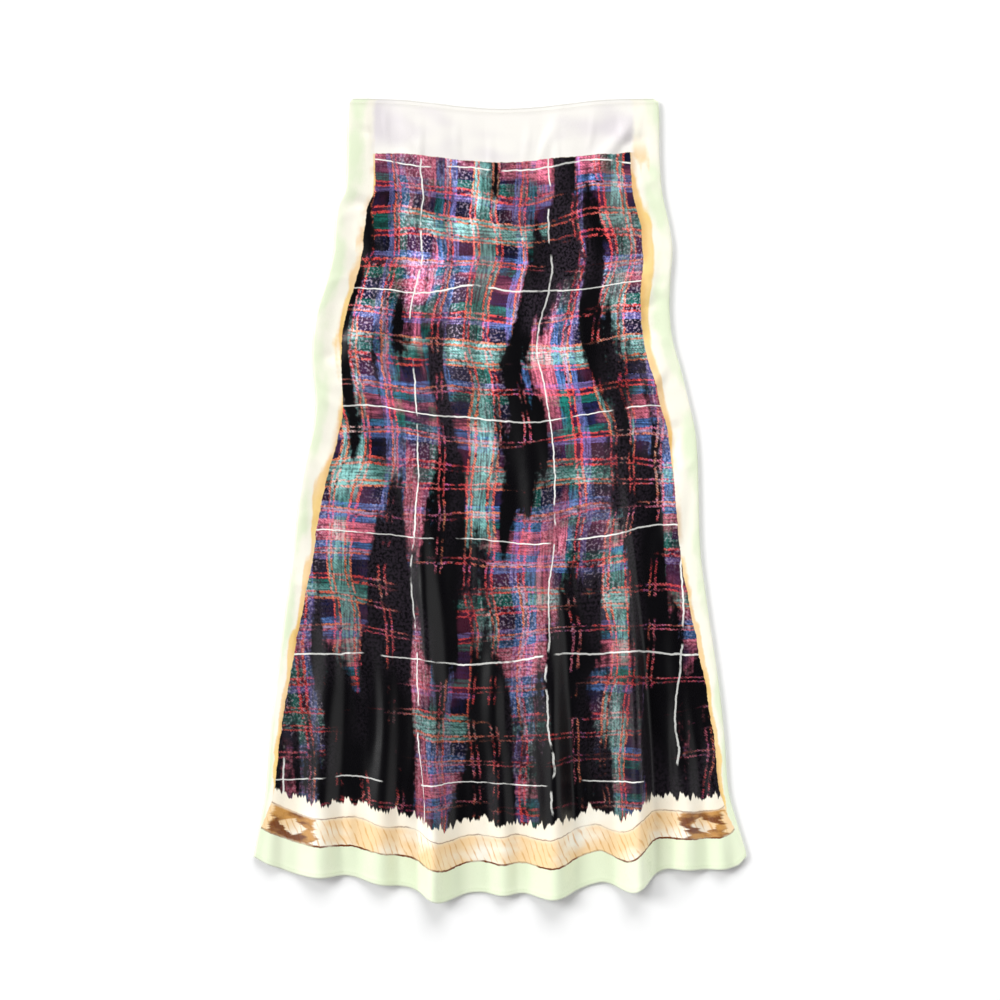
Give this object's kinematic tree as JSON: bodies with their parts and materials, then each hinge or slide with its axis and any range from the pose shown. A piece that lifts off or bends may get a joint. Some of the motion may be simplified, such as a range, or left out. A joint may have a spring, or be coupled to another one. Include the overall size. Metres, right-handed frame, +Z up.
{
  "type": "satin midi skirt",
  "caption": "Flared midi skirt of light printed satin, lying flat with its front panel on its back panel, open at the waist and the hem.",
  "frame": {"origin": "on the surface that the skirt lies on, under the middle of its outline", "axes": "+X across the skirt to the right as it is seen from above, +Y along the skirt to the waist, +Z up out of the front panel"},
  "size_m": [0.5522, 0.8969, 0.0285],
  "materials": {
    "satin": "light satin with a soft sheen, printed with a dark check inside pale and ochre borders"
  },
  "bodies": {
    "root": {"front_panel": "satin", "back_panel": "satin"}
  },
  "joints": []
}
